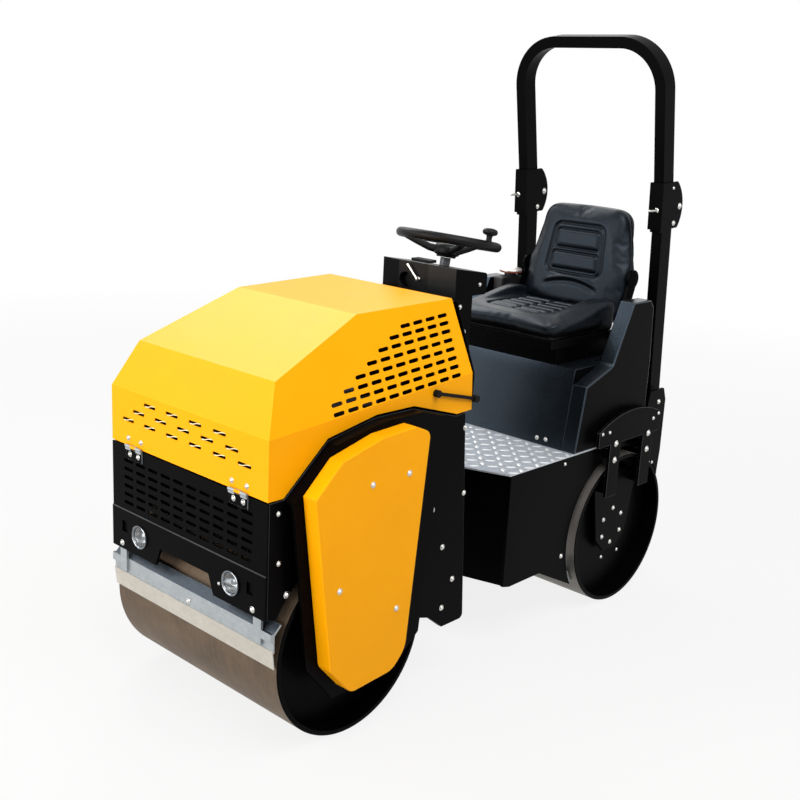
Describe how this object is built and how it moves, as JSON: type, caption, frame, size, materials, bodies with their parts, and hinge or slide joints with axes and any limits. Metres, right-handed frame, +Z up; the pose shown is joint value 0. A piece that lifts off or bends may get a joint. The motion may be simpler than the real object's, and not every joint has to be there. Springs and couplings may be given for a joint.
{
  "type": "ride-on tandem road roller",
  "caption": "Ride-on double-drum road roller with articulated steering, tilting hood, steering wheel, seat and folding roll-over hoop.",
  "frame": {"origin": "on the ground, in the middle of the length and the width", "axes": "-Y forward, +X to the machine's left, +Z up"},
  "size_m": [0.88, 2.037, 2.0255],
  "materials": {
    "drum_steel": "rolled steel shell, worn",
    "yellow_paint": "gloss powder coat",
    "black_paint": "satin powder coat",
    "galvanised_steel": "galvanised",
    "lamp": "polished reflector",
    "checker_plate": "tread plate",
    "black_vinyl": "grained vinyl",
    "console_paint": "satin powder coat",
    "wheel_plastic": "moulded",
    "latch_rubber": "moulded",
    "tank_plastic": "moulded",
    "cap": "plated steel",
    "engine_iron": "painted casting",
    "zinc": "zinc plated"
  },
  "bodies": {
    "rear_frame": {"rear_side_plate_left": "black_paint", "rear_side_plate_right": "black_paint", "rear_cross_frame": "black_paint", "towing_eye": "black_paint", "rear_neck": "black_paint", "floor_plate": "checker_plate", "seat_box": "black_paint", "fender_left": "black_paint", "fender_right": "black_paint", "fluid_tank": "tank_plastic", "filler_cap": "cap", "seat_base": "black_paint", "seat_cushion": "black_vinyl", "seat_backrest": "black_vinyl", "drum_hanger_left": "black_paint", "drum_hanger_right": "black_paint", "hub_carrier_left": "black_paint", "hub_carrier_right": "black_paint", "rear_scraper": "galvanised_steel", "rops_post_left": "black_paint", "rops_post_right": "black_paint"},
    "front_drum": {"front_drum": "drum_steel", "front_drum_ends": "black_paint"},
    "rear_drum": {"rear_drum": "drum_steel", "rear_drum_ends": "black_paint"},
    "hood": {"hood": "yellow_paint", "hood_latches": "latch_rubber"},
    "steering_wheel": {"steering_wheel": "wheel_plastic"},
    "hoop": {"rops_hoop": "black_paint"},
    "front_frame": {"console": "console_paint", "console_pillar": "black_paint", "engine_block": "engine_iron", "front_cross_frame": "black_paint", "front_neck": "black_paint", "front_panel": "black_paint", "front_scraper": "galvanised_steel", "front_side_plate_left": "black_paint", "front_side_plate_right": "black_paint", "headlights": "lamp", "hood_hinges": "galvanised_steel", "side_cover_left": "yellow_paint", "side_cover_right": "yellow_paint", "steering_column": "zinc", "support_arm_left": "black_paint", "support_arm_right": "black_paint"}
  },
  "joints": [
    {"name": "articulation", "type": "hinge", "parent": "rear_frame", "child": "front_frame", "pos_m": [0, -0.0915, 0.4], "axis": [0, 0, 1], "range_deg": [-28, 28]},
    {"name": "front_drum_spin", "type": "hinge", "parent": "front_frame", "child": "front_drum", "pos_m": [0, -0.7015, 0.28], "axis": [1, 0, 0], "continuous": true},
    {"name": "rear_drum_spin", "type": "hinge", "parent": "rear_frame", "child": "rear_drum", "pos_m": [0, 0.6735, 0.28], "axis": [1, 0, 0], "continuous": true},
    {"name": "hood_tilt", "type": "hinge", "parent": "front_frame", "child": "hood", "pos_m": [0, -1.014, 0.76], "axis": [1, 0, 0], "range_deg": [0, 62]},
    {"name": "steering_wheel_turn", "type": "hinge", "parent": "front_frame", "child": "steering_wheel", "pos_m": [0, 0.0465, 1.33], "axis": [0, 0.1736, 0.9848], "continuous": true},
    {"name": "hoop_fold", "type": "hinge", "parent": "rear_frame", "child": "hoop", "pos_m": [0, 0.9285, 1.443], "axis": [1, 0, 0], "range_deg": [-95, 0]}
  ]
}
